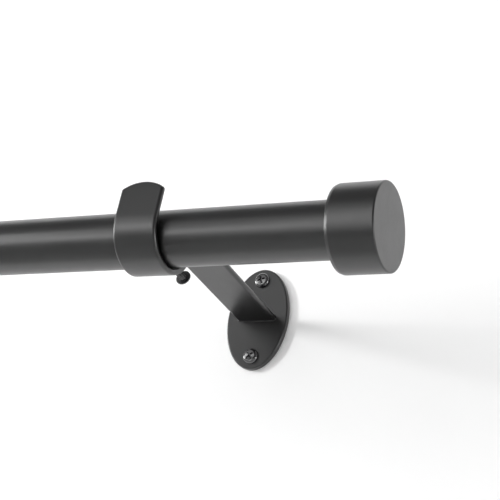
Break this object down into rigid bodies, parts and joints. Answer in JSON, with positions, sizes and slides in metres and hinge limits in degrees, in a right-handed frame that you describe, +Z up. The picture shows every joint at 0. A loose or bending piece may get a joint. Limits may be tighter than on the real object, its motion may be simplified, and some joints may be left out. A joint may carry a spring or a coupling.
{
  "type": "curtain rod",
  "caption": "Telescoping curtain rod with cylindrical end caps, lying in J-shaped wall brackets with oval plates and clamp screws.",
  "frame": {"origin": "centre of the right-hand wall plate's back face, on the wall", "axes": "+X along the rod to the right-hand cap, +Y into the wall, +Z up"},
  "size_m": [0.7112, 0.1608, 0.0546],
  "materials": {
    "powder_coat": "satin black powder coat",
    "screw_black": "glossy black screws",
    "moulded_black": "fine moulded texture"
  },
  "bodies": {
    "brackets": {"hook_strip_right": "powder_coat", "wall_plate_right": "powder_coat", "arm_weld_right": "powder_coat", "upper_screw_right": "screw_black", "lower_screw_right": "screw_black", "hook_strip_left": "powder_coat", "wall_plate_left": "powder_coat", "arm_weld_left": "powder_coat", "upper_screw_left": "screw_black", "lower_screw_left": "screw_black"},
    "rod": {"outer_tube": "powder_coat", "mouth_bush": "moulded_black"},
    "inner": {"inner_tube": "powder_coat", "inner_glide": "moulded_black"},
    "cap_right": {"cap_shell_right": "powder_coat", "cap_insert_right": "moulded_black"},
    "cap_left": {"cap_shell_left": "powder_coat", "cap_insert_left": "moulded_black", "cap_reducer_left": "moulded_black"},
    "clamp_right": {"clamp_screw_right": "screw_black"},
    "clamp_left": {"clamp_screw_left": "screw_black"}
  },
  "joints": [
    {"name": "rod_lift", "type": "slide", "parent": "brackets", "child": "rod", "axis": [0, 0, 1], "range_m": [0, 0.04]},
    {"name": "telescope", "type": "slide", "parent": "rod", "child": "inner", "axis": [-1, 0, 0], "range_m": [0, 0.508]},
    {"name": "cap_right_pull", "type": "slide", "parent": "rod", "child": "cap_right", "axis": [1, 0, 0], "range_m": [0, 0.03]},
    {"name": "cap_left_pull", "type": "slide", "parent": "inner", "child": "cap_left", "axis": [-1, 0, 0], "range_m": [0, 0.03]},
    {"name": "clamp_right_out", "type": "slide", "parent": "brackets", "child": "clamp_right", "axis": [0, 0.989, -0.1478], "range_m": [0, 0.012]},
    {"name": "clamp_left_out", "type": "slide", "parent": "brackets", "child": "clamp_left", "axis": [0, 0.989, -0.1478], "range_m": [0, 0.012]}
  ]
}
